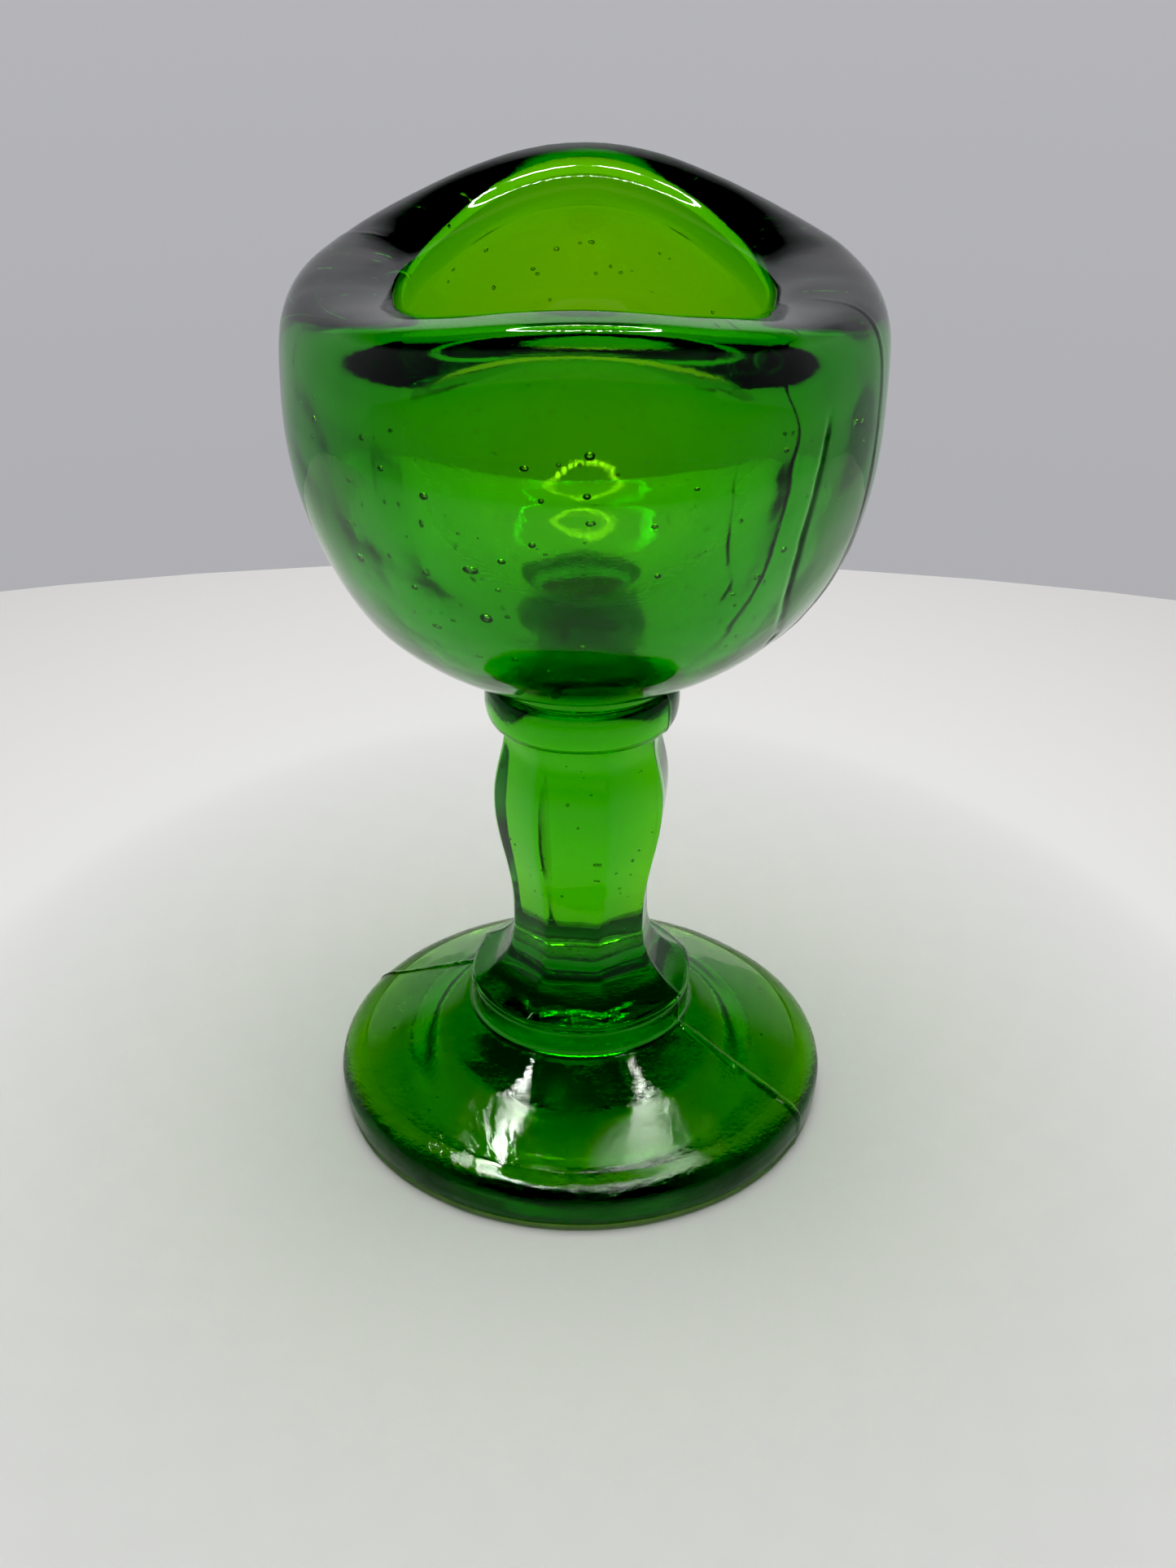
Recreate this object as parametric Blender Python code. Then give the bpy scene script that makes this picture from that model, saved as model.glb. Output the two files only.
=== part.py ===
# Pedestal eye wash cup of thick pressed glass.
#
# Frame: metres, +Z up.  The origin is the centre of the foot where it rests
# on the table.  The oval bowl is long in Y and narrow in X, and its rim
# rises at both ends of the long axis and dips at the two sides.
#
# The real cup is one casting.  It is modelled here as its moulded sections,
# stacked on one axis: foot, foot ring, stem, collar and bowl.

import math

import bmesh
import bpy

# ---------------------------------------------------------------- dimensions
GAP = 0.0003                # left between neighbouring sections

# foot: a disc with a rounded edge and a top that climbs to the stem
FOOT_R = 0.01825            # overall radius
FOOT_EDGE_Z = 0.0036        # height where the rounded edge meets the slope
FOOT_WIDE_LO = 0.0015       # the edge is upright between these two heights
FOOT_WIDE_HI = 0.0021
FOOT_TOP_R = 0.0081         # where the sloping top meets the ring
FOOT_TOP_Z = 0.0077
FOOT_REST_R = 0.0172        # outer radius of the flat resting band
RECESS_R = 0.0126           # shallow dished recess underneath
RECESS_DEPTH = 0.0021
RECESS_RUN = 0.0034         # width of the recess's sloping side

# foot ring: a low round step under the stem
RING_R = 0.0081
RING_TOP_Z = 0.0097

# stem: eight flat sides, flared at its base, waisted, and swelling below
# the collar
STEM_SIDES = 8
STEM_TURN = math.radians(-30.0)     # one corner lies in the mould's parting plane
STEM_FLARE_R = 0.0084
STEM_WAIST_R = 0.0051
STEM_WAIST_Z = 0.0158
STEM_SWELL_R = 0.00648
STEM_SWELL_Z = 0.0256
STEM_NECK_R = 0.0056
STEM_TOP_Z = 0.0311

# collar: a round bead between the stem and the bowl
COLLAR_R = 0.0068
COLLAR_TOP_Z = 0.0344
COLLAR_ROUND = 0.0010       # rounding of the bead's two edges

# bowl: a half ellipsoid below its widest level, drawn in to a thick lip above
BOWL_BASE_R = 0.0065        # short round pad that stands on the collar
BOWL_PAD_R = 0.0069         # where the pad runs into the bowl's underside
BOWL_WIDE_Z = 0.0557        # level of the greatest width
BOWL_DROP = 0.0208          # vertical semi-axis below that level
BOWL_FULL = 2.27            # superellipse exponent of the underside
BOWL_AX = 0.0190            # greatest half width, X
BOWL_BY = 0.0235            # greatest half length, Y
LIP_AX = 0.0147             # crest of the lip, X
LIP_BY = 0.0219             # crest of the lip, Y
LIP_SIDE_Z = 0.0625         # crest height at the two sides
LIP_END_Z = 0.0655          # crest height at the two ends
LIP_RISE = 2.9              # how sharply the crest climbs towards the ends
SHOULDER = 3.4              # superellipse exponent of the outer shoulder
SHOULDER_H = 0.0057         # height of the rounded shoulder
LIP_TURN = 4.0              # how tightly the lip turns down on its inner side
LIP_DIP = 0.0005            # inward slope of the lip's top

# cavity: an oval basin, narrowest at its mouth, where the lip turns in
CAV_AX = 0.0112             # mouth, half width
CAV_BY = 0.0167             # mouth, half length
CAV_TOP_DROP = 0.0030       # how far the mouth lies below the crest
CAV_WIDE_Z = 0.0560         # level where the basin is widest
CAV_WIDE_A = 0.0130
CAV_WIDE_B = 0.0184
CAV_FULL = 2.15             # superellipse exponent of the basin's lower half
CAV_FLOOR_Z = 0.0403

ROUND_STEPS = 48            # points around a round section


# ------------------------------------------------------------------ helpers
def glass(name, colour):
    """A green glass material for one section."""
    mat = bpy.data.materials.new(name)
    mat.use_nodes = True
    bsdf = mat.node_tree.nodes["Principled BSDF"]
    bsdf.inputs["Base Color"].default_value = (*colour, 1.0)
    bsdf.inputs["Roughness"].default_value = 0.05
    bsdf.inputs["Metallic"].default_value = 0.0
    bsdf.inputs["IOR"].default_value = 1.52
    bsdf.inputs["Transmission Weight"].default_value = 0.6
    return mat


def stack(name, rings, colour):
    """Bridge a stack of closed rings into one body and cap both ends.

    The first ring is the start of the outside and the last one its end.
    """
    bm = bmesh.new()
    loops = []
    for ring in rings:
        verts = [bm.verts.new(p) for p in ring]
        count = len(verts)
        loops.append([bm.edges.new((verts[i], verts[(i + 1) % count]))
                      for i in range(count)])
    for lower, upper in zip(loops, loops[1:]):
        bmesh.ops.bridge_loops(bm, edges=lower + upper)
    for end in (loops[0], loops[-1]):
        bmesh.ops.edgeloop_fill(bm, edges=end)
    bmesh.ops.recalc_face_normals(bm, faces=bm.faces[:])
    mesh = bpy.data.meshes.new(name)
    bm.to_mesh(mesh)
    bm.free()
    mesh.shade_smooth()
    mesh.set_sharp_from_angle(angle=math.radians(35.0))
    obj = bpy.data.objects.new(name, mesh)
    obj.data.materials.append(glass(name + "_glass", colour))
    bpy.context.scene.collection.objects.link(obj)
    return obj


def circle(radius, z, steps=ROUND_STEPS):
    return [(radius * math.cos(2 * math.pi * i / steps),
             radius * math.sin(2 * math.pi * i / steps), z)
            for i in range(steps)]


def mix(a, b, t):
    return a + (b - a) * t


def ease(t):
    """Smooth step from 0 to 1 with level ends."""
    t = min(1.0, max(0.0, t))
    return t * t * (3.0 - 2.0 * t)


# --------------------------------------------------------------------- foot
def make_foot():
    rings = []
    # dished recess, from its centre out to the resting band
    for i in range(0, 7):
        r = mix(0.45 * RECESS_R, RECESS_R, i / 6)
        rings.append(circle(r, RECESS_DEPTH * ease((RECESS_R - r) / RECESS_RUN)))
    rings.append(circle(FOOT_REST_R, 0.0))
    # rounded edge: out to the full radius and back over the top
    for i in range(1, 4):
        a = math.radians(30.0 * i)
        rings.append(circle(mix(FOOT_REST_R, FOOT_R, math.sin(a)),
                            FOOT_WIDE_LO * (1.0 - math.cos(a))))
    slope = (FOOT_TOP_Z - FOOT_EDGE_Z) / (FOOT_R - 0.0017 - FOOT_TOP_R)
    turn = math.pi / 2 - math.atan(slope)
    rise = FOOT_EDGE_Z - FOOT_WIDE_HI
    for i in range(0, 5):
        a = turn * i / 4
        rings.append(circle(FOOT_R - 0.0017 * (1.0 - math.cos(a)) / (1.0 - math.cos(turn)),
                            FOOT_WIDE_HI + rise * math.sin(a) / math.sin(turn)))
    # sloping top, up to the ring
    start_r = FOOT_R - 0.0017
    for i in range(1, 5):
        t = i / 4
        rings.append(circle(mix(start_r, FOOT_TOP_R, t),
                            mix(FOOT_EDGE_Z, FOOT_TOP_Z, t)))
    return stack("foot", rings, (0.05, 0.42, 0.01))


def make_foot_ring():
    low = FOOT_TOP_Z + GAP
    high = RING_TOP_Z
    soft = 0.0004
    rings = [circle(RING_R - soft, low),
             circle(RING_R, low + soft),
             circle(RING_R, high - 2 * soft),
             circle(RING_R - 0.3 * soft, high - 0.8 * soft),
             circle(RING_R - soft, high)]
    return stack("foot_ring", rings, (0.02, 0.24, 0.01))


# --------------------------------------------------------------------- stem
def stem_radius(z):
    """Corner radius of the eight-sided stem at height z."""
    base = RING_TOP_Z + GAP
    if z < STEM_WAIST_Z:
        t = (STEM_WAIST_Z - z) / (STEM_WAIST_Z - base)
        return mix(STEM_WAIST_R, STEM_FLARE_R, t ** 3.2)
    if z < STEM_SWELL_Z:
        return mix(STEM_WAIST_R, STEM_SWELL_R,
                   ease((z - STEM_WAIST_Z) / (STEM_SWELL_Z - STEM_WAIST_Z)))
    return mix(STEM_SWELL_R, STEM_NECK_R,
               ease((z - STEM_SWELL_Z) / (STEM_TOP_Z - STEM_SWELL_Z)))


def make_stem():
    base = RING_TOP_Z + GAP
    levels = 22
    rings = []
    for k in range(levels + 1):
        z = mix(base, STEM_TOP_Z, (k / levels) ** 1.15)
        r = stem_radius(z)
        ring = []
        for i in range(STEM_SIDES):
            # each corner is eased by two points, so the edges are soft
            for off in (-0.07, 0.07):
                a = STEM_TURN + 2 * math.pi * i / STEM_SIDES + off
                inner = r * math.cos(math.pi / STEM_SIDES)
                reach = inner / math.cos(math.pi / STEM_SIDES - abs(off))
                ring.append((reach * math.cos(a), reach * math.sin(a), z))
        rings.append(ring)
    return stack("stem", rings, (0.05, 0.45, 0.01))


# ------------------------------------------------------------------- collar
def make_collar():
    low = STEM_TOP_Z + GAP
    rings = []
    for i in range(0, 5):
        a = math.radians(22.5 * i)
        rings.append(circle(COLLAR_R - COLLAR_ROUND * (1.0 - math.sin(a)),
                            low + COLLAR_ROUND * (1.0 - math.cos(a))))
    for i in range(0, 5):
        a = math.radians(22.5 * i)
        rings.append(circle(COLLAR_R - COLLAR_ROUND * (1.0 - math.cos(a)),
                            COLLAR_TOP_Z - COLLAR_ROUND * (1.0 - math.sin(a))))
    return stack("collar", rings, (0.02, 0.26, 0.01))


# --------------------------------------------------------------------- bowl
def crest_z(t):
    """Height of the lip's crest at ring angle t."""
    return mix(LIP_SIDE_Z, LIP_END_Z, abs(math.sin(t)) ** LIP_RISE)


def oval(a, b, z):
    """One ring of the bowl: a and b are its half axes, z a height or a rule."""
    ring = []
    for i in range(ROUND_STEPS):
        t = 2 * math.pi * i / ROUND_STEPS
        ring.append((a * math.cos(t), b * math.sin(t),
                     z(t) if callable(z) else z))
    return ring


def make_bowl():
    rings = []
    base_z = COLLAR_TOP_Z + GAP
    # lower half: an ellipsoid that turns from round at the collar to oval
    rings.append(oval(BOWL_BASE_R, BOWL_BASE_R, base_z))
    low_angle = math.asin((BOWL_PAD_R / BOWL_AX) ** (BOWL_FULL / 2.0))
    for i in range(11):
        s = mix(low_angle, 0.5 * math.pi, i / 10)
        a = BOWL_AX * math.sin(s) ** (2.0 / BOWL_FULL)
        z = BOWL_WIDE_Z - BOWL_DROP * max(0.0, math.cos(s)) ** (2.0 / BOWL_FULL)
        grow = (z - base_z) / (BOWL_WIDE_Z - base_z)
        rings.append(oval(a, a * mix(1.0, BOWL_BY / BOWL_AX, grow), z))
    # shoulder, up to the crest of the lip
    rings.append(oval(BOWL_AX, BOWL_BY, lambda t: crest_z(t) - SHOULDER_H))
    for i in range(1, 8):
        s = 0.5 * math.pi * i / 7
        h = math.sin(s) ** (2.0 / SHOULDER)
        w = max(0.0, math.cos(s)) ** (2.0 / SHOULDER) if i < 7 else 0.0
        rings.append(oval(mix(LIP_AX, BOWL_AX, w), mix(LIP_BY, BOWL_BY, w),
                          lambda t, h=h: crest_z(t) - SHOULDER_H * (1.0 - h)))
    # over the lip to the mouth of the cavity
    for i in range(1, 7):
        s = 0.5 * math.pi * i / 6
        h = math.sin(s) ** (2.0 / LIP_TURN)
        v = 1.0 - (max(0.0, math.cos(s)) ** (2.0 / LIP_TURN) if i < 6 else 0.0)
        drop = LIP_DIP * h ** 1.5 + (CAV_TOP_DROP - LIP_DIP) * v
        rings.append(oval(mix(LIP_AX, CAV_AX, h), mix(LIP_BY, CAV_BY, h),
                          lambda t, drop=drop: crest_z(t) - drop))
    # behind the lip the wall opens out to the basin's widest level
    for i in range(1, 6):
        s = 0.5 * math.pi * i / 5
        k = 1.0 - math.cos(s)
        rings.append(oval(mix(CAV_AX, CAV_WIDE_A, math.sin(s)),
                          mix(CAV_BY, CAV_WIDE_B, math.sin(s)),
                          lambda t, k=k: mix(crest_z(t) - CAV_TOP_DROP, CAV_WIDE_Z, k)))
    # then closes to the floor
    for i in range(1, 11):
        s = 0.5 * math.pi * (1.0 - i / 11)
        a = CAV_WIDE_A * math.sin(s) ** (2.0 / CAV_FULL)
        z = CAV_WIDE_Z - (CAV_WIDE_Z - CAV_FLOOR_Z) * math.cos(s) ** (2.0 / CAV_FULL)
        grow = (z - CAV_FLOOR_Z) / (CAV_WIDE_Z - CAV_FLOOR_Z)
        rings.append(oval(a, a * mix(1.12, CAV_WIDE_B / CAV_WIDE_A, grow), z))
    return stack("bowl", rings, (0.06, 0.5, 0.01))


# -------------------------------------------------------------------- build
def main():
    for obj in list(bpy.data.objects):
        bpy.data.objects.remove(obj, do_unlink=True)
    make_foot()
    make_foot_ring()
    make_stem()
    make_collar()
    make_bowl()


main()
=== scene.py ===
"""Green pressed-glass eye wash cup: the visible surface, its glass and the studio."""
import math

import bpy
import numpy as np
from mathutils import Matrix, Vector


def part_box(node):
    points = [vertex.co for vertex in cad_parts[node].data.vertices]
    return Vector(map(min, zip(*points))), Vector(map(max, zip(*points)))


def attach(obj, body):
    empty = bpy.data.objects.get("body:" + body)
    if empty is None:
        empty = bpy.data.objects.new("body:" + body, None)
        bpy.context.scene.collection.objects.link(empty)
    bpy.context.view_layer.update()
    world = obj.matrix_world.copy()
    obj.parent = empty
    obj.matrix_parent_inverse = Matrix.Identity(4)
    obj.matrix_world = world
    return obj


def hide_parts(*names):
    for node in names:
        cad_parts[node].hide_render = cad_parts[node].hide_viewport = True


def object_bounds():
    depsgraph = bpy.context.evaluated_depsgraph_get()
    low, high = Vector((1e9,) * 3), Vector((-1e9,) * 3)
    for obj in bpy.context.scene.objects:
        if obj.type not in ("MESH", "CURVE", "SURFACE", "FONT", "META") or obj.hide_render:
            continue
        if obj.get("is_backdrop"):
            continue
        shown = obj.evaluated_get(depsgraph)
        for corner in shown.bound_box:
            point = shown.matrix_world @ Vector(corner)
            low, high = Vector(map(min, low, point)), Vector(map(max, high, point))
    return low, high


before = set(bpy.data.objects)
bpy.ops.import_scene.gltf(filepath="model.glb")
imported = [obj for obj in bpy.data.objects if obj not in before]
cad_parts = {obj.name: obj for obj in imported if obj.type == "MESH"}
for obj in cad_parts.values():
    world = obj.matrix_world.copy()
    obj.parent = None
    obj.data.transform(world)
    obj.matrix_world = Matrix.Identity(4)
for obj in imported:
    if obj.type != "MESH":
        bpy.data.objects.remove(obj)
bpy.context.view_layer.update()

# ------------------------------------------------------------ driving sizes (mm)
# The overall sizes come from the CAD nodes; the rest are the design's own.
MM = 0.001
foot_lo, foot_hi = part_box("foot")
ring_lo, ring_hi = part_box("foot_ring")
stem_lo, stem_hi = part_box("stem")
collar_lo, collar_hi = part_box("collar")
bowl_lo, bowl_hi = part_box("bowl")

FOOT_R = foot_hi[0] / MM
FOOT_TOP_Z = foot_hi[2] / MM
RING_R = ring_hi[0] / MM
RING_TOP_Z = ring_hi[2] / MM
STEM_Z0 = stem_lo[2] / MM
STEM_Z1 = stem_hi[2] / MM
COLLAR_R = collar_hi[0] / MM
COLLAR_Z1 = collar_hi[2] / MM
BOWL_AX = bowl_hi[0] / MM
BOWL_BY = bowl_hi[1] / MM
LIP_END_Z = bowl_hi[2] / MM

REST_R, RECESS_R, RECESS_DEPTH, RECESS_RUN = 17.2, 12.6, 2.2, 3.4
WIDE_LO, WIDE_HI, EDGE_Z, EDGE_IN = 1.5, 2.1, 3.6, 1.7
FLARE_R, WAIST_R, WAIST_Z = 8.4, 5.1, 15.8
SWELL_R, SWELL_Z, NECK_R = 6.48, 25.6, 5.6
PAD_R, WIDE_Z, DROP, FULL = 6.9, 55.7, 20.8, 2.27
LIP_AX, LIP_BY, LIP_SIDE_Z, LIP_RISE = 14.7, 21.9, 62.5, 2.9
SHOULDER, SHOULDER_H = 3.4, 5.7
CAV_AX, CAV_BY, CAV_DROP = 11.2, 16.7, 3.0
LIP_TURN, LIP_DIP = 4.0, 0.5         # how tightly the lip turns in, and its inward slope
CAV_WIDE_Z, CAV_WIDE_A, CAV_WIDE_B, CAV_FULL = 56.0, 13.0, 18.4, 2.15
FLOOR_Z = 40.3

SEAM = math.radians(-28.3)          # the mould's parting plane
STEM_TURN = math.radians(-29.6)     # one stem corner lies in it


# ------------------------------------------------------------ noise helpers
def lattice(ix, iy, iz, seed):
    """A repeatable value in -1..1 for each lattice point."""
    h = (ix * 374761393 + iy * 668265263 + iz * 2147483647 + seed * 1274126177) & 0xFFFFFFFF
    h = ((h ^ (h >> 13)) * 1103515245) & 0xFFFFFFFF
    h = ((h ^ (h >> 16)) * 2654435761) & 0xFFFFFFFF
    h = h ^ (h >> 15)
    return (h & 0xFFFFFF) / float(0xFFFFFF) * 2.0 - 1.0


def noise(p, size, seed):
    """Smooth value noise over points p (n, 3), one cell every size mm."""
    q = p / size
    i = np.floor(q).astype(np.int64)
    f = q - i
    f = f * f * f * (f * (f * 6 - 15) + 10)
    out = np.zeros(len(p))
    for dx in (0, 1):
        for dy in (0, 1):
            for dz in (0, 1):
                w = ((f[:, 0] if dx else 1 - f[:, 0])
                     * (f[:, 1] if dy else 1 - f[:, 1])
                     * (f[:, 2] if dz else 1 - f[:, 2]))
                out += w * lattice(i[:, 0] + dx, i[:, 1] + dy, i[:, 2] + dz, seed)
    return out


def mix(a, b, t):
    return a + (b - a) * t


def ease(t):
    t = np.clip(t, 0.0, 1.0)
    return t * t * (3.0 - 2.0 * t)


# ------------------------------------------------------------ glass body
# Points round the body: even, and close together along the two parting lines.
angles = set(np.round(np.linspace(0, 2 * math.pi, 100, endpoint=False), 5))
for centre in (SEAM, SEAM + math.pi):
    for d in np.linspace(-1, 1, 25):
        angles.add(round((centre + math.radians(5.0) * d * abs(d) ** 0.5) % (2 * math.pi), 5))
for d in np.linspace(-56.0, -39.0, 44):
    angles.add(round(math.radians(d) % (2 * math.pi), 5))
for corner in range(8):
    for d in (-2.2, -0.9, 0.0, 0.9, 2.2):
        angles.add(round((STEM_TURN + corner * math.pi / 4 + math.radians(d)) % (2 * math.pi), 5))
TH = np.array(sorted(angles))
keep = np.ones(len(TH), bool)
for k in range(1, len(TH)):
    if TH[k] - TH[k - 1] < 0.004:
        keep[k] = False
TH = TH[keep]
N = len(TH)
COS, SIN = np.cos(TH), np.sin(TH)
LIP_T = np.arctan2(SIN / (LIP_BY / LIP_AX), COS)
CREST = mix(LIP_SIDE_Z, LIP_END_Z, np.abs(np.sin(LIP_T)) ** LIP_RISE)

rings = []      # each (N, 3), mm
zone = []       # which part of the surface a ring belongs to


def add(x, y, z, name):
    rings.append(np.stack([np.broadcast_to(x, (N,)), np.broadcast_to(y, (N,)),
                           np.broadcast_to(z, (N,))], 1).astype(float))
    zone.append(name)


def add_round(r, z, name):
    add(r * COS, r * SIN, z, name)


def add_oval(a, b, z, name):
    t = np.arctan2(SIN / (b / a), COS)
    add(a * np.cos(t), b * np.sin(t), z, name)


def octagon(r, sharp):
    """Radius round an eight-sided section of corner radius r; sharp 0 is round."""
    step = 2 * math.pi / 8
    a = (TH - STEM_TURN + step / 2) % step - step / 2        # from the nearest corner
    flat = r * math.cos(step / 2)
    reach = flat / np.cos(step / 2 - np.abs(a))
    cut = 0.988 * r                                          # each corner is a little worn
    reach = cut - np.log1p(np.exp(np.clip((cut - reach) * 30.0, -50, 50))) / 30.0
    return mix(r, reach, sharp)


# underside: dished recess, then the flat resting band
for k in range(1, 27):
    r = RECESS_R * math.sin(0.5 * math.pi * k / 27)
    add_round(r, RECESS_DEPTH * float(ease((RECESS_R - r) / RECESS_RUN)) - 0.25 * (1 - (r / RECESS_R) ** 2), "recess")
for k in range(0, 9):
    add_round(mix(RECESS_R + 0.1, REST_R, k / 8), 0.0, "rest")
for k in range(1, 12):
    a = 0.5 * math.pi * k / 11
    add_round(mix(REST_R, FOOT_R, math.sin(a)), WIDE_LO * (1 - math.cos(a)), "edge")
add_round(FOOT_R, mix(WIDE_LO, WIDE_HI, 0.5), "edge")
slope = (FOOT_TOP_Z - EDGE_Z) / (FOOT_R - EDGE_IN - RING_R)
turn = math.pi / 2 - math.atan(slope)
for k in range(0, 15):
    a = turn * k / 14
    add_round(FOOT_R - EDGE_IN * (1 - math.cos(a)) / (1 - math.cos(turn)),
              WIDE_HI + (EDGE_Z - WIDE_HI) * math.sin(a) / math.sin(turn), "edge")
top_r = FOOT_R - EDGE_IN
for k in range(1, 37):
    t = k / 36 * 0.93
    add_round(mix(top_r, RING_R, t), mix(EDGE_Z, FOOT_TOP_Z, t), "top")
r0, z0 = mix(top_r, RING_R, 0.93), mix(EDGE_Z, FOOT_TOP_Z, 0.93)
for k in range(1, 8):       # small fillet into the ring
    t = k / 7
    add_round(mix(r0, RING_R, 1 - (1 - t) ** 2), z0 + (FOOT_TOP_Z + 0.35 - z0) * t ** 1.8, "ring")
for k in range(1, 6):
    add_round(RING_R, mix(FOOT_TOP_Z + 0.35, RING_TOP_Z - 0.35, k / 5), "ring")
for k in range(1, 6):       # the ring's soft top edge, pinched under the flare
    a = 0.5 * math.pi * k / 5
    add_round(RING_R - 0.28 * (1 - math.cos(a)), RING_TOP_Z - 0.35 + 0.3 * math.sin(a), "ring")
# the flare's edge stands a little proud of the ring
for k in range(0, 5):
    a = 0.5 * math.pi * k / 4
    reach = octagon(mix(RING_R - 0.24, FLARE_R, math.sin(a)), 0.45 * k / 4)
    add(reach * COS, reach * SIN, RING_TOP_Z + 0.02 + 0.3 * (1 - math.cos(a)), "stem")


def stem_radius(z):
    if z < WAIST_Z:
        return mix(WAIST_R, FLARE_R, ((WAIST_Z - z) / (WAIST_Z - STEM_Z0)) ** 3.2)
    if z < SWELL_Z:
        return mix(WAIST_R, SWELL_R, float(ease((z - WAIST_Z) / (SWELL_Z - WAIST_Z))) )
    t = (z - SWELL_Z) / (STEM_Z1 - SWELL_Z)
    return mix(SWELL_R, NECK_R, float(ease(t ** 1.15)))


for k in range(1, 81):
    z = mix(RING_TOP_Z + 0.32, STEM_Z1 - 0.1, (k / 80) ** 1.12)
    r = stem_radius(max(z, STEM_Z0))
    sharp = mix(0.45, 1.0, float(ease((z - RING_TOP_Z - 0.3) / 0.9))) * (1 - 0.65 * float(ease((z - STEM_Z1 + 1.6) / 1.5)))
    reach = octagon(r, sharp)
    add(reach * COS, reach * SIN, z, "stem")
# collar: hollow neck, round bead, and a second hollow under the bowl
for k in range(1, 6):
    t = k / 5
    add_round(mix(NECK_R - 0.15, COLLAR_R - 0.75, t ** 2), mix(STEM_Z1 - 0.05, STEM_Z1 + 0.32, t), "collar")
bead_lo, bead_hi = STEM_Z1 + 0.35, COLLAR_Z1
for k in range(0, 15):
    a = math.pi * (k / 14 - 0.5)
    w = abs(math.cos(a)) ** 0.55
    add_round(COLLAR_R - 0.75 * (1 - w), mix(bead_lo, bead_hi, 0.5 + 0.5 * math.sin(a)), "collar")
for k in range(1, 5):
    add_round(mix(COLLAR_R - 0.75, PAD_R - 0.45, k / 4), mix(bead_hi, bead_hi + 0.35, k / 4), "collar")
# bowl underside
s0 = math.asin((PAD_R / BOWL_AX) ** (FULL / 2))
base_z = COLLAR_Z1 + 0.3
z_start = WIDE_Z - DROP * math.cos(s0) ** (2 / FULL)
for k in range(1, 6):
    t = k / 6
    add_round(mix(PAD_R - 0.45, PAD_R, t ** 2), mix(bead_hi + 0.35, z_start, t), "bowl")
for k in range(0, 64):
    s = mix(s0, 0.5 * math.pi, k / 63)
    a = BOWL_AX * math.sin(s) ** (2 / FULL)
    z = WIDE_Z - DROP * max(0.0, math.cos(s)) ** (2 / FULL)
    add_oval(a, a * mix(1.0, BOWL_BY / BOWL_AX, (z - base_z) / (WIDE_Z - base_z)), z, "bowl")
# shoulder to the crest
for k in range(1, 13):
    add_oval(BOWL_AX, BOWL_BY, mix(WIDE_Z, CREST - SHOULDER_H, k / 12), "shoulder")
for k in range(1, 35):
    s = 0.5 * math.pi * k / 34
    h = math.sin(s) ** (2 / SHOULDER)
    w = max(0.0, math.cos(s)) ** (2 / SHOULDER) if k < 34 else 0.0
    add_oval(mix(LIP_AX, BOWL_AX, w), mix(LIP_BY, BOWL_BY, w), CREST - SHOULDER_H * (1 - h), "shoulder")
# over the lip
LIP_RINGS = 26
for k in range(1, LIP_RINGS + 1):
    s = 0.5 * math.pi * k / LIP_RINGS
    h = math.sin(s) ** (2 / LIP_TURN)
    v = 1 - max(0.0, math.cos(s)) ** (2 / LIP_TURN)
    add_oval(mix(LIP_AX, CAV_AX, h), mix(LIP_BY, CAV_BY, h),
             CREST - LIP_DIP * h ** 1.5 - (CAV_DROP - LIP_DIP) * v, "lip")
# cavity wall, corner and floor
for k in range(1, 21):
    s = 0.5 * math.pi * k / 20
    add_oval(mix(CAV_AX, CAV_WIDE_A, math.sin(s)), mix(CAV_BY, CAV_WIDE_B, math.sin(s)),
             mix(CREST - CAV_DROP, CAV_WIDE_Z, 1 - math.cos(s)), "cavity")
for k in range(1, 45):
    s = 0.5 * math.pi * (1 - k / 45)
    a = CAV_WIDE_A * math.sin(s) ** (2 / CAV_FULL)
    z = CAV_WIDE_Z - (CAV_WIDE_Z - FLOOR_Z) * math.cos(s) ** (2 / CAV_FULL)
    grow = (z - FLOOR_Z) / (CAV_WIDE_Z - FLOOR_Z)
    add_oval(a, a * mix(1.12, CAV_WIDE_B / CAV_WIDE_A, grow), z, "cavity")

P = np.array(rings)                 # (M, N, 3)
M = len(P)
ZONE = np.array(zone)

# outward normals from the grid
du = np.roll(P, -1, 1) - np.roll(P, 1, 1)
dv = np.gradient(P, axis=0)
NRM = np.cross(du, dv)
length = np.linalg.norm(NRM, axis=2, keepdims=True)
NRM = NRM / np.maximum(length, 1e-9)

flat = P.reshape(-1, 3)
zones = np.repeat(ZONE, N)
theta = np.tile(TH, M)
radius = np.hypot(flat[:, 0], flat[:, 1])
move = np.zeros(len(flat))


def where(*names):
    return np.isin(zones, names).astype(float)


# slow unevenness of pressed glass, at several sizes
outer = where("bowl", "shoulder", "lip")
move += outer * (0.11 * noise(flat, 9.0, 1) + 0.045 * noise(flat, 4.2, 2) + 0.014 * noise(flat, 1.9, 3))
move += where("cavity") * (0.10 * noise(flat, 7.0, 4) + 0.035 * noise(flat, 3.4, 5) + 0.010 * noise(flat, 1.7, 6))
move += where("top", "edge") * (0.05 * noise(flat, 6.0, 7) + 0.02 * noise(flat, 2.6, 8) + 0.010 * noise(flat, 1.4, 9))
move += where("stem", "collar") * (0.045 * noise(flat, 4.0, 10) + 0.014 * noise(flat, 1.8, 11))
move += where("recess") * (0.06 * noise(flat, 3.0, 12))
# the foot's rim carries faint level streaks from the mould
streak = np.stack([flat[:, 0] * 0.25, flat[:, 1] * 0.25, flat[:, 2] * 3.0], 1)
move += where("edge") * 0.018 * noise(streak, 1.0, 13) * (flat[:, 2] > 0.6)
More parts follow.
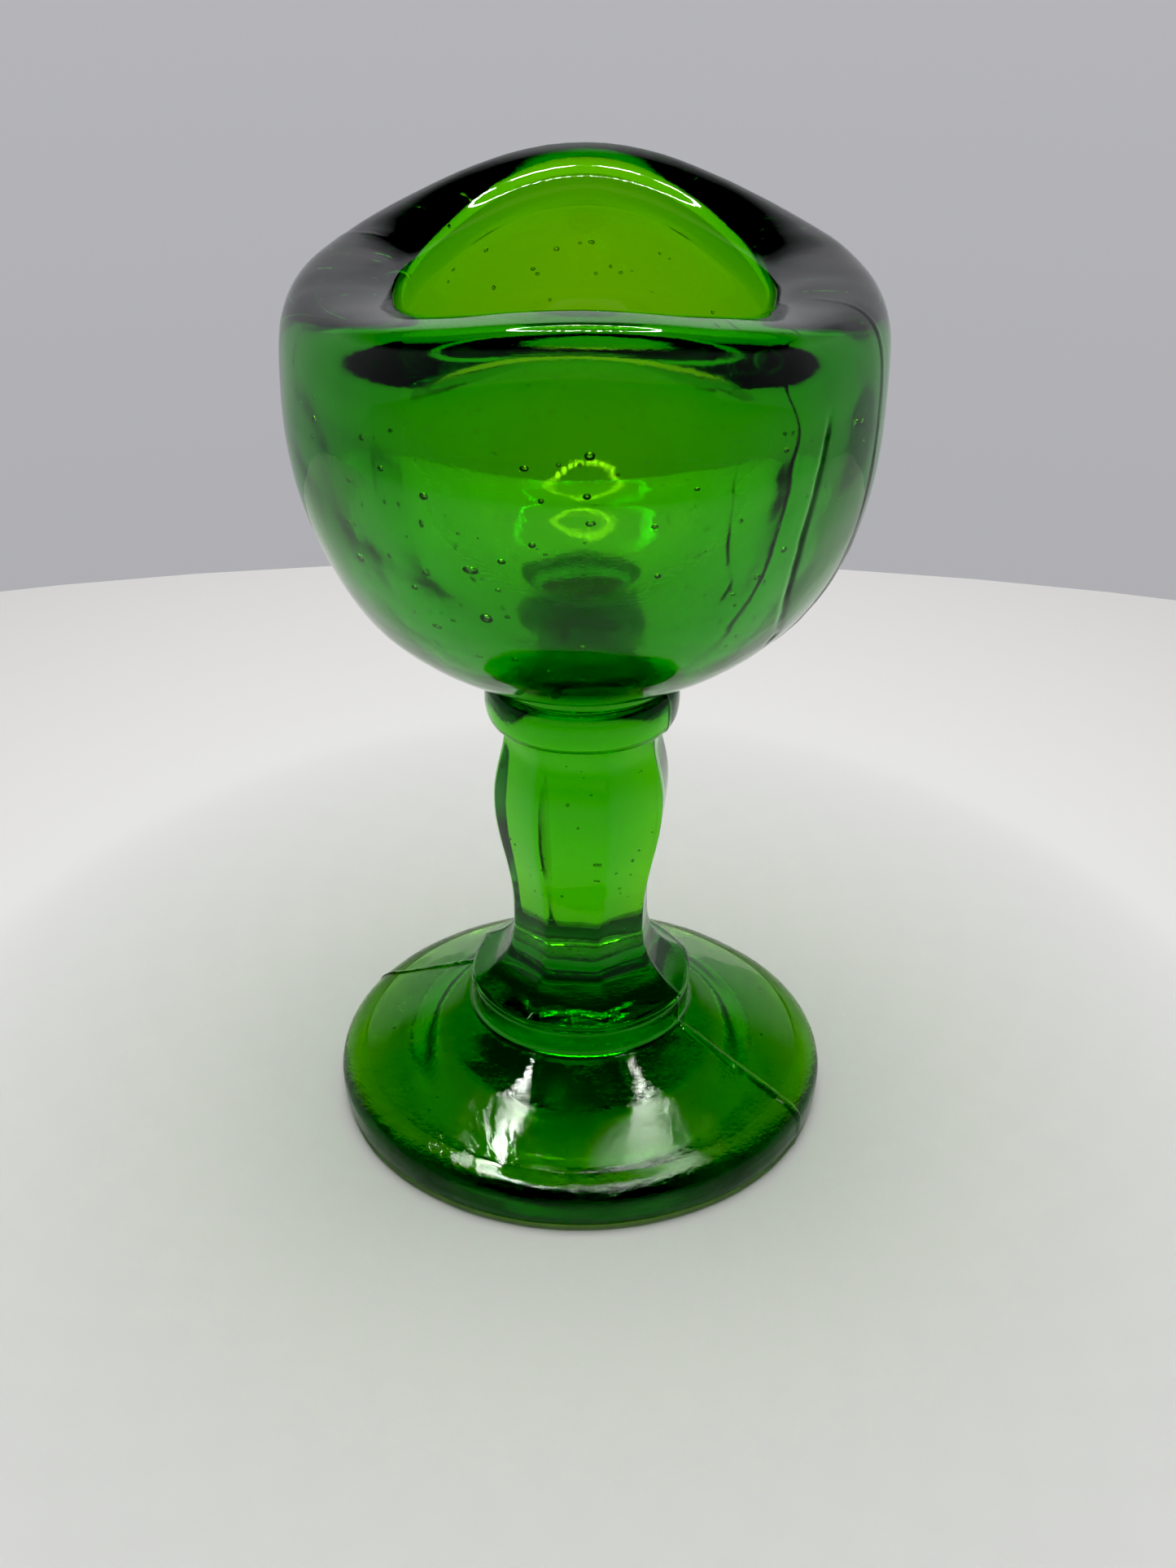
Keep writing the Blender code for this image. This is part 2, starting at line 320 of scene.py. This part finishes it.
# lower bowl sides: short level dashes where the glass chilled on the mould
dash = np.stack([flat[:, 0], flat[:, 1], flat[:, 2] * 2.4], 1)
low_side = np.clip((52.0 - flat[:, 2]) / 10.0, 0, 1) * np.clip((flat[:, 2] - 36.5) / 3.0, 0, 1)
move += where("bowl") * low_side * 0.012 * noise(dash, 1.1, 14)

# parting-line ridge, on every outer face
for side, centre in enumerate((SEAM, SEAM + math.pi)):
    d = (theta - centre + math.pi) % (2 * math.pi) - math.pi
    arc = d * radius
    along = np.stack([flat[:, 2], radius, np.full(len(flat), 7.0 * side)], 1)
    rough = 0.5 + 0.5 * noise(along, 0.9, 20 + side)
    fine = noise(along, 0.35, 22 + side)
    wander = 0.10 * noise(along, 3.0, 24 + side)
    arc = arc + wander
    ridge = np.exp(-(arc / 0.20) ** 2)
    step = 0.5 * (1 + np.tanh(arc / 0.14)) * np.exp(-np.maximum(arc, 0) / 1.6)
    height = (where("top") * (0.20 + 0.12 * rough + 0.05 * fine)
              + where("edge") * (0.12 + 0.10 * rough)
              + where("ring") * 0.10
              + where("stem") * 0.05
              + where("collar") * 0.05
              + where("bowl") * (0.07 + 0.04 * rough)
              + where("shoulder") * (0.06 + 0.03 * rough))
    lift = (where("bowl", "shoulder") * 0.07 + where("top", "edge") * 0.05)
    fade = np.where(zones == "edge", np.clip(flat[:, 2] / 1.2, 0, 1), 1.0)
    # the ridge dies out over the crest of the lip
    fade = np.where(zones == "shoulder", np.clip((1 - (flat[:, 2] - WIDE_Z) / (np.tile(CREST, M) - WIDE_Z)) * 6, 0.25, 1), fade)
    move += (ridge * height + step * lift) * fade

# a chill wrinkle runs down the right of the front
course = np.radians(-52.4 + 2.9 * ((flat[:, 2] - 50.0) / 8.0) ** 2
                    + 7.1 * np.clip((50.0 - flat[:, 2]) / 7.5, 0, 1) ** 2)
off = ((theta - course + math.pi) % (2 * math.pi) - math.pi) * radius
level = np.stack([flat[:, 2], np.zeros(len(flat)), np.full(len(flat), 3.0)], 1)
off = off + 0.10 * noise(level, 1.6, 31)
span = ease((flat[:, 2] - 41.0) / 1.5) * ease((59.0 - flat[:, 2]) / 1.5)
move -= (where("bowl", "shoulder") * span * (0.10 + 0.06 * noise(level, 0.9, 32))
         * np.exp(-(off / 0.22) ** 2))

flat = flat + NRM.reshape(-1, 3) * move[:, None]
# the resting band stays on the table
rest = np.isin(zones, ("rest",))
flat[rest, 2] = 0.0
flat[:, 2] = np.maximum(flat[:, 2], 0.0)

bottom = np.array([[0.0, 0.0, RECESS_DEPTH - 0.25]])
floor_pt = flat.reshape(M, N, 3)[-1].mean(0)[None] + [[0, 0, -0.01]]
verts = np.vstack([flat, bottom, floor_pt]) * MM
i_bottom, i_floor = M * N, M * N + 1

faces = []
idx = np.arange(M * N).reshape(M, N)
nxt = np.roll(idx, -1, 1)
quads = np.stack([idx[:-1], nxt[:-1], nxt[1:], idx[1:]], -1).reshape(-1, 4)
faces += quads.tolist()
faces += [(int(nxt[0, k]), int(idx[0, k]), i_bottom) for k in range(N)]
faces += [(int(idx[-1, k]), int(nxt[-1, k]), i_floor) for k in range(N)]

# seeds: small air bubbles shut in the glass, as inward-facing walls of the same body
rng = np.random.default_rng(41)
seeds = []


def wall_point(z, az, depth):
    """A point depth mm under the bowl's outer face, at height z and azimuth az."""
    if z < WIDE_Z:
        u = min(1.0, (WIDE_Z - z) / DROP)
        a = BOWL_AX * (1 - u ** FULL) ** (1 / FULL)
        b = a * mix(1.0, BOWL_BY / BOWL_AX, (z - base_z) / (WIDE_Z - base_z))
    else:
        a, b = BOWL_AX, BOWL_BY
    t = math.atan2(math.sin(az) * a / b, math.cos(az))
    x, y = a * math.cos(t), b * math.sin(t)
    r = math.hypot(x, y)
    return np.array([x * (r - depth) / r, y * (r - depth) / r, z])


for _ in range(220):
    z = rng.uniform(39, 59.5)
    seeds.append((wall_point(z, rng.uniform(-math.pi, math.pi), rng.uniform(0.9, 3.4)),
                  rng.uniform(0.06, 0.20), rng.uniform(1.0, 1.7)))
for z, deg, r, s in ((47.6, -106, 0.36, 1.1), (49.3, -132, 0.28, 1.3), (57.0, -140, 0.24, 1.3),
                     (51.0, -107, 0.26, 1.9), (60.0, -89, 0.26, 1.2), (56.8, -38, 0.27, 1.4),
                     (56.6, -35, 0.22, 1.3), (49.5, -60, 0.2, 1.3), (53.2, -97, 0.2, 1.1)):
    seeds.append((wall_point(min(z, 58.5), math.radians(deg), 1.3), r, s))
for _ in range(34):
    z = rng.uniform(12, 30)
    a, r = rng.uniform(-math.pi, math.pi), rng.uniform(0.5, 3.9)
    seeds.append((np.array([r * math.cos(a), r * math.sin(a), z]), rng.uniform(0.04, 0.11), rng.uniform(1.0, 2.2)))
for _ in range(50):
    a, r = rng.uniform(-math.pi, math.pi), rng.uniform(9.0, 16.2)
    z = rng.uniform(2.2, 2.2 + (16.6 - r) * 0.35)
    seeds.append((np.array([r * math.cos(a), r * math.sin(a), z]), rng.uniform(0.04, 0.13), rng.uniform(1.0, 1.6)))

ball_lat, ball_lon = 6, 8
extra, extra_faces = [], []
base = len(verts)
for centre, r, stretch in seeds:
    start = base + len(extra)
    extra.append(centre + [0, 0, -r])
    for i in range(1, ball_lat):
        la = -math.pi / 2 + math.pi * i / ball_lat
        for j in range(ball_lon):
            lo = 2 * math.pi * j / ball_lon
            extra.append(centre + np.array([r * stretch * math.cos(la) * math.cos(lo),
                                            r * math.cos(la) * math.sin(lo),
                                            r * math.sin(la)]))
    extra.append(centre + [0, 0, r])
    last = start + 1 + (ball_lat - 1) * ball_lon

    def at(i, j):
        return start + 1 + (i - 1) * ball_lon + j % ball_lon

    for j in range(ball_lon):
        extra_faces.append((start, at(1, j), at(1, j + 1)))
        extra_faces.append((last, at(ball_lat - 1, j + 1), at(ball_lat - 1, j)))
        for i in range(1, ball_lat - 1):
            extra_faces.append((at(i, j), at(i + 1, j), at(i + 1, j + 1), at(i, j + 1)))
verts = np.vstack([verts, np.array(extra) * MM])
faces += extra_faces

mesh = bpy.data.meshes.new("cup_glass")
mesh.from_pydata(verts.tolist(), [], faces)
mesh.update()
# how rough the pressed skin is at each point, from fire-polished lip to chilled foot edge
peel = (where("edge") * 1.0 + where("recess", "rest") * 0.4 + where("ring") * 0.25
        + where("stem") * 0.06 + where("collar") * 0.12 + where("lip") * 0.06
        + where("cavity") * (0.05 + 0.5 * ease((47.0 - flat[:, 2]) / 5.0)))
peel += where("top") * (0.15 + 0.60 * ease((radius - 10.0) / 3.5) * ease((-flat[:, 1] + 4.0) / 10.0))
peel += where("bowl") * (0.05 + 0.09 * low_side)
peel += where("shoulder") * 0.05
peel = np.concatenate([peel, np.full(len(verts) - len(peel), 0.1)])
attr = mesh.attributes.new("peel", "FLOAT", "POINT")
attr.data.foreach_set("value", peel.astype(np.float32))
mesh.shade_smooth()
cup = bpy.data.objects.new("cup_glass", mesh)
bpy.context.scene.collection.objects.link(cup)


# ------------------------------------------------------------ glass material
def node(nt, kind, loc=(0, 0), **values):
    n = nt.nodes.new(kind)
    n.location = loc
    for k, v in values.items():
        if hasattr(n, k) and k not in n.inputs:
            setattr(n, k, v)
        else:
            n.inputs[k].default_value = v
    return n


glass = bpy.data.materials.new("green_pressed_glass")
glass.use_nodes = True
nt = glass.node_tree
nt.nodes.clear()
out = nt.nodes.new("ShaderNodeOutputMaterial")
bsdf = nt.nodes.new("ShaderNodeBsdfPrincipled")
bsdf.inputs["Base Color"].default_value = (1, 1, 1, 1)
bsdf.inputs["Transmission Weight"].default_value = 1.0
bsdf.inputs["IOR"].default_value = 1.52
bsdf.inputs["Metallic"].default_value = 0.0
nt.links.new(bsdf.outputs["BSDF"], out.inputs["Surface"])
absorb = nt.nodes.new("ShaderNodeVolumeAbsorption")
absorb.inputs["Color"].default_value = (0.744, 0.941, 0.0, 1)
absorb.inputs["Density"].default_value = 900.0
nt.links.new(absorb.outputs["Volume"], out.inputs["Volume"])

coords = nt.nodes.new("ShaderNodeTexCoord")
# orange-peel of the pressed surface: a fine and a broader pattern
fine = nt.nodes.new("ShaderNodeTexNoise")
fine.inputs["Scale"].default_value = 2400.0
fine.inputs["Detail"].default_value = 3.0
fine.inputs["Roughness"].default_value = 0.6
broad = nt.nodes.new("ShaderNodeTexNoise")
broad.inputs["Scale"].default_value = 420.0
broad.inputs["Detail"].default_value = 2.0
stretch = nt.nodes.new("ShaderNodeMapping")
stretch.inputs["Scale"].default_value = (1.0, 1.0, 2.6)
nt.links.new(coords.outputs["Object"], stretch.inputs["Vector"])
nt.links.new(stretch.outputs["Vector"], fine.inputs["Vector"])
nt.links.new(coords.outputs["Object"], broad.inputs["Vector"])
# where the surface is rough: the patches of chilled glass
patch = nt.nodes.new("ShaderNodeTexNoise")
patch.inputs["Scale"].default_value = 130.0
patch.inputs["Detail"].default_value = 2.0
nt.links.new(coords.outputs["Object"], patch.inputs["Vector"])
patch_ramp = nt.nodes.new("ShaderNodeMapRange")
patch_ramp.inputs["From Min"].default_value = 0.38
patch_ramp.inputs["From Max"].default_value = 0.66
patch_ramp.inputs["To Min"].default_value = 0.25
patch_ramp.inputs["To Max"].default_value = 1.0
nt.links.new(patch.outputs["Fac"], patch_ramp.inputs["Value"])
skin = nt.nodes.new("ShaderNodeAttribute")
skin.attribute_name = "peel"
amount = nt.nodes.new("ShaderNodeMath")
amount.operation = "MULTIPLY"
nt.links.new(patch_ramp.outputs["Result"], amount.inputs[0])
nt.links.new(skin.outputs["Fac"], amount.inputs[1])
fine_h = nt.nodes.new("ShaderNodeMath")
fine_h.operation = "MULTIPLY"
nt.links.new(fine.outputs["Fac"], fine_h.inputs[0])
nt.links.new(amount.outputs["Value"], fine_h.inputs[1])
broad_h = nt.nodes.new("ShaderNodeMath")
broad_h.operation = "MULTIPLY"
nt.links.new(broad.outputs["Fac"], broad_h.inputs[0])
nt.links.new(skin.outputs["Fac"], broad_h.inputs[1])
bump_a = nt.nodes.new("ShaderNodeBump")
bump_a.inputs["Strength"].default_value = 1.0
bump_a.inputs["Distance"].default_value = 0.00006
nt.links.new(fine_h.outputs["Value"], bump_a.inputs["Height"])
bump_b = nt.nodes.new("ShaderNodeBump")
bump_b.inputs["Strength"].default_value = 1.0
bump_b.inputs["Distance"].default_value = 0.00008
nt.links.new(broad_h.outputs["Value"], bump_b.inputs["Height"])
nt.links.new(bump_a.outputs["Normal"], bump_b.inputs["Normal"])
nt.links.new(bump_b.outputs["Normal"], bsdf.inputs["Normal"])
rough = nt.nodes.new("ShaderNodeMapRange")
rough.inputs["To Min"].default_value = 0.0
rough.inputs["To Max"].default_value = 0.06
nt.links.new(patch_ramp.outputs["Result"], rough.inputs["Value"])
nt.links.new(rough.outputs["Result"], bsdf.inputs["Roughness"])
mesh.materials.append(glass)

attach(cup, "root")
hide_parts("bowl", "collar", "stem", "foot_ring", "foot")

# ------------------------------------------------------------ studio
floor_mesh = bpy.data.meshes.new("floor")
fv, ff = [(0, 0, 0)], []
FR = 0.24
for k in range(96):
    a = 2 * math.pi * k / 96
    fv.append((FR * math.cos(a), FR * math.sin(a), 0))
for k in range(96):
    ff.append((0, 1 + k, 1 + (k + 1) % 96))
floor_mesh.from_pydata(fv, [], ff)
floor = bpy.data.objects.new("floor", floor_mesh)
bpy.context.scene.collection.objects.link(floor)
floor.location = (0, -0.14, -0.00002)
fm = bpy.data.materials.new("floor_card")
fm.use_nodes = True
fb = fm.node_tree.nodes["Principled BSDF"]
fb.inputs["Base Color"].default_value = (0.80, 0.80, 0.81, 1)
fb.inputs["Roughness"].default_value = 0.8
floor_mesh.materials.append(fm)
floor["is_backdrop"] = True

world = bpy.data.worlds.new("studio")
world.use_nodes = True
bpy.context.scene.world = world
wn = world.node_tree
wn.nodes.clear()
wout = wn.nodes.new("ShaderNodeOutputWorld")
wbg = wn.nodes.new("ShaderNodeBackground")
wtc = wn.nodes.new("ShaderNodeTexCoord")
wsep = wn.nodes.new("ShaderNodeSeparateXYZ")
wramp = wn.nodes.new("ShaderNodeValToRGB")
wn.links.new(wtc.outputs["Generated"], wsep.inputs["Vector"])
wmap = wn.nodes.new("ShaderNodeMapRange")
wmap.inputs["From Min"].default_value = -1.0
wmap.inputs["From Max"].default_value = 1.0
wn.links.new(wsep.outputs["Z"], wmap.inputs["Value"])
wn.links.new(wmap.outputs["Result"], wramp.inputs["Fac"])
cr = wramp.color_ramp
cr.elements[0].position = 0.0
cr.elements[0].color = (0.42, 0.42, 0.44, 1)
cr.elements[1].position = 0.62
cr.elements[1].color = (0.56, 0.56, 0.585, 1)
e = cr.elements.new(1.0)
e.color = (0.75, 0.75, 0.76, 1)
wn.links.new(wramp.outputs["Color"], wbg.inputs["Color"])
# pale walls at eye level under a dark ceiling: the lamps do most of the lighting
whigh = wn.nodes.new("ShaderNodeMapRange")
whigh.inputs["From Min"].default_value = 0.28
whigh.inputs["From Max"].default_value = 0.44
wn.links.new(wsep.outputs["Z"], whigh.inputs["Value"])
wdim = wn.nodes.new("ShaderNodeMapRange")
wdim.inputs["To Min"].default_value = 1.0
wdim.inputs["To Max"].default_value = 0.12
wn.links.new(whigh.outputs["Result"], wdim.inputs["Value"])
wn.links.new(wdim.outputs["Result"], wbg.inputs["Strength"])
wn.links.new(wbg.outputs["Background"], wout.inputs["Surface"])

# a ring of small lamps overhead
LAMPS = 36
for k in range(LAMPS):
    a = 2 * math.pi * (k + 0.5) / LAMPS
    data = bpy.data.lights.new(f"lamp_{k:02d}", "AREA")
    data.shape = "DISK"
    data.size = 0.0095
    data.energy = 0.0165
    data.color = (1.0, 0.985, 0.96)
    lamp = bpy.data.objects.new(data.name, data)
    lamp.location = (0.080 * math.cos(a), 0.014 + 0.080 * math.sin(a), 0.225)
    lamp.visible_camera = False
    bpy.context.scene.collection.objects.link(lamp)

cam_data = bpy.data.cameras.new("camera")
cam_data.sensor_width = 36.0
cam_data.lens = 2400.0 * 36.0 / 1927.0
cam_data.clip_start = 0.005
cam_data.clip_end = 20.0
cam = bpy.data.objects.new("camera", cam_data)
cam.location = (0.00043, -0.12098, 0.09457)
tilt = Matrix.Rotation(math.radians(90.0 - 29.68), 3, "X")
roll = Matrix.Rotation(math.radians(0.4), 3, "Z")
cam.rotation_euler = (tilt @ roll).to_euler()
bpy.context.scene.collection.objects.link(cam)
bpy.context.scene.camera = cam

scene = bpy.context.scene
scene.view_settings.view_transform = "Standard"
scene.view_settings.look = "None"
scene.view_settings.gamma = 0.87
scene.view_settings.use_curve_mapping = True
curves = scene.view_settings.curve_mapping
curves.black_level = (0.02, 0.02, 0.02)
curves.update()
scene.cycles.max_bounces = 24
scene.cycles.transmission_bounces = 24
scene.cycles.glossy_bounces = 12
scene.cycles.diffuse_bounces = 4
scene.cycles.volume_bounces = 0
scene.cycles.caustics_reflective = True
scene.cycles.caustics_refractive = True
scene.cycles.sample_clamp_indirect = 12.0
scene.cycles.use_denoising = True

lo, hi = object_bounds()
